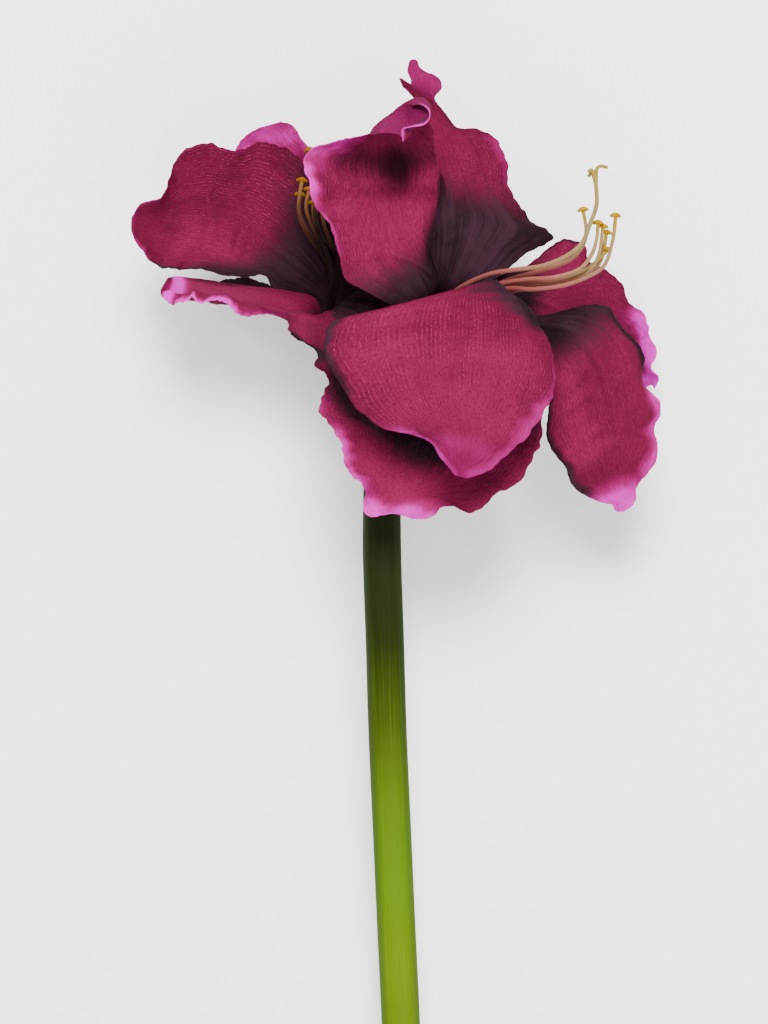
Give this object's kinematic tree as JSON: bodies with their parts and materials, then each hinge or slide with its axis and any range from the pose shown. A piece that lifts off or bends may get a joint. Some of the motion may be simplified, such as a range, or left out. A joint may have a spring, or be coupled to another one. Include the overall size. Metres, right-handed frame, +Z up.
{
  "type": "amaryllis",
  "caption": "Cut amaryllis lying on its back: a thick green scape carrying open burgundy trumpet blooms with wavy pink-rimmed petals and long curved stamens.",
  "frame": {"origin": "centre of the bounding box's footprint, on the surface the flower lies on", "axes": "+Y along the scape from the cut end to the blooms, +Z up out of the surface, towards the side the picture shows, +X to the picture's right"},
  "size_m": [0.2268, 0.5104, 0.1436],
  "materials": {
    "scape_green": "matte smooth plant skin with faint lengthwise streaks, dark near the blooms and yellow-green below",
    "stalk_green": "matte smooth plant skin",
    "bract_papery": "dry and papery",
    "petal_burgundy": "matte, finely veined, dark at the base and bright pink at the rim",
    "stamen_salmon": "satin filaments with matte ochre anthers",
    "style_cream": "satin"
  },
  "bodies": {
    "root": {"scape": "scape_green", "pedicel_left": "stalk_green", "pedicel_right": "stalk_green", "bract_front": "bract_papery", "bract_back": "bract_papery", "petal_right_upper_left": "petal_burgundy", "petal_right_top": "petal_burgundy", "petal_right_front": "petal_burgundy", "petal_right_low": "petal_burgundy", "petal_right_back": "petal_burgundy", "petal_right_side": "petal_burgundy", "petal_left_near_low": "petal_burgundy", "petal_left_near_up": "petal_burgundy", "petal_left_top": "petal_burgundy", "petal_left_far": "petal_burgundy", "petal_left_behind": "petal_burgundy", "petal_left_low": "petal_burgundy", "stamens_right": "stamen_salmon", "stamens_left": "stamen_salmon", "style_right": "style_cream", "style_left": "style_cream"}
  },
  "joints": []
}
